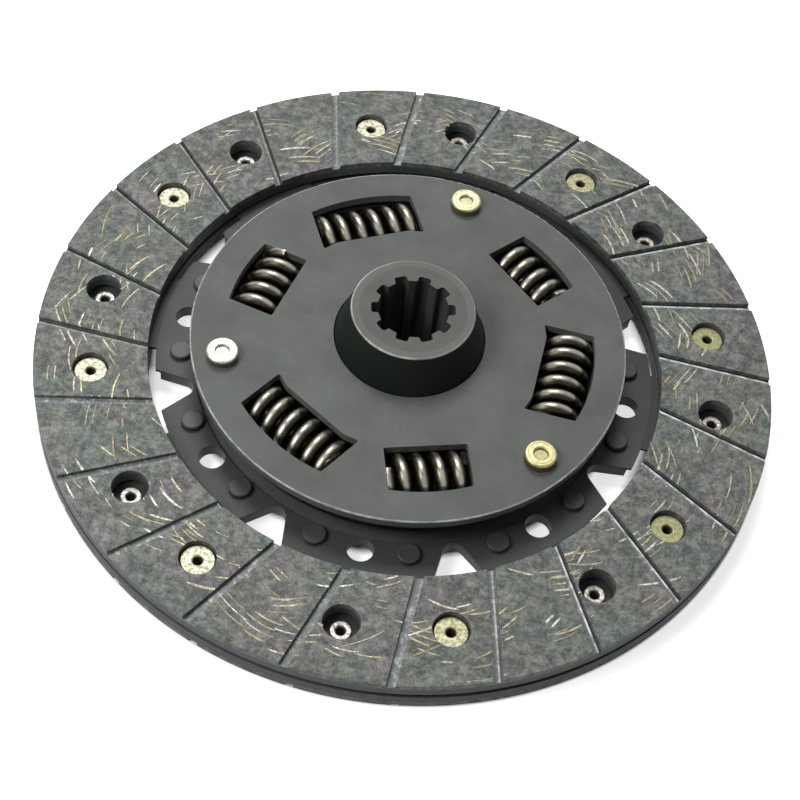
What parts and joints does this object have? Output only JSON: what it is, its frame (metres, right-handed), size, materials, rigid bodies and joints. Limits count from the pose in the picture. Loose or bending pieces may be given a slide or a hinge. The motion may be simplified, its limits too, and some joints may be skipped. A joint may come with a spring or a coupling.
{
  "type": "clutch disc",
  "caption": "Dry clutch disc: grooved friction rings riveted to waved cushion segments, with a coil-sprung splined hub.",
  "frame": {"origin": "shaft axis in the rear facing's rubbing face, the lowest plane", "axes": "+Z along the shaft axis towards the hub's long end; a cushion segment's centre lies on +X"},
  "size_m": [0.2, 0.2, 0.0291],
  "materials": {
    "friction_facing": "ground moulded friction compound with short brass wires",
    "rivet_brass": "plain",
    "dark_rivet": "phosphated",
    "segment_steel": "blued",
    "plate_steel": "phosphated",
    "coil_steel": "oiled",
    "yellow_zinc": "yellow zinc plated",
    "washer_compound": "plain",
    "hub_steel": "phosphated, turned end face"
  },
  "bodies": {
    "driven_plate": {"front_facing": "friction_facing", "rear_facing": "friction_facing", "front_facing_rivets": "rivet_brass", "rear_facing_rivets": "rivet_brass", "cushion_segment_1": "segment_steel", "cushion_segment_2": "segment_steel", "cushion_segment_3": "segment_steel", "cushion_segment_4": "segment_steel", "cushion_segment_5": "segment_steel", "cushion_segment_6": "segment_steel", "cushion_segment_7": "segment_steel", "cushion_segment_8": "segment_steel", "segment_rivets": "dark_rivet", "carrier_plate": "plate_steel", "cover_plate": "plate_steel", "stop_pin_1": "yellow_zinc", "stop_pin_2": "yellow_zinc", "stop_pin_3": "yellow_zinc", "long_damper_spring_1": "coil_steel", "long_damper_spring_2": "coil_steel", "long_damper_spring_3": "coil_steel", "short_damper_spring_1": "coil_steel", "short_damper_spring_2": "coil_steel", "short_damper_spring_3": "coil_steel", "friction_washer_front": "washer_compound", "friction_washer_rear": "washer_compound", "disc_spring": "segment_steel"},
    "hub": {"hub": "hub_steel"}
  },
  "joints": [
    {"name": "hub_twist", "type": "hinge", "parent": "driven_plate", "child": "hub", "pos_m": [0, 0, 0.0109], "axis": [0, 0, 1], "range_deg": [-4, 4], "stiffness_Nm_per_rad": 900, "deforming": ["long_damper_spring_1", "long_damper_spring_2", "long_damper_spring_3", "short_damper_spring_1", "short_damper_spring_2", "short_damper_spring_3"]}
  ]
}
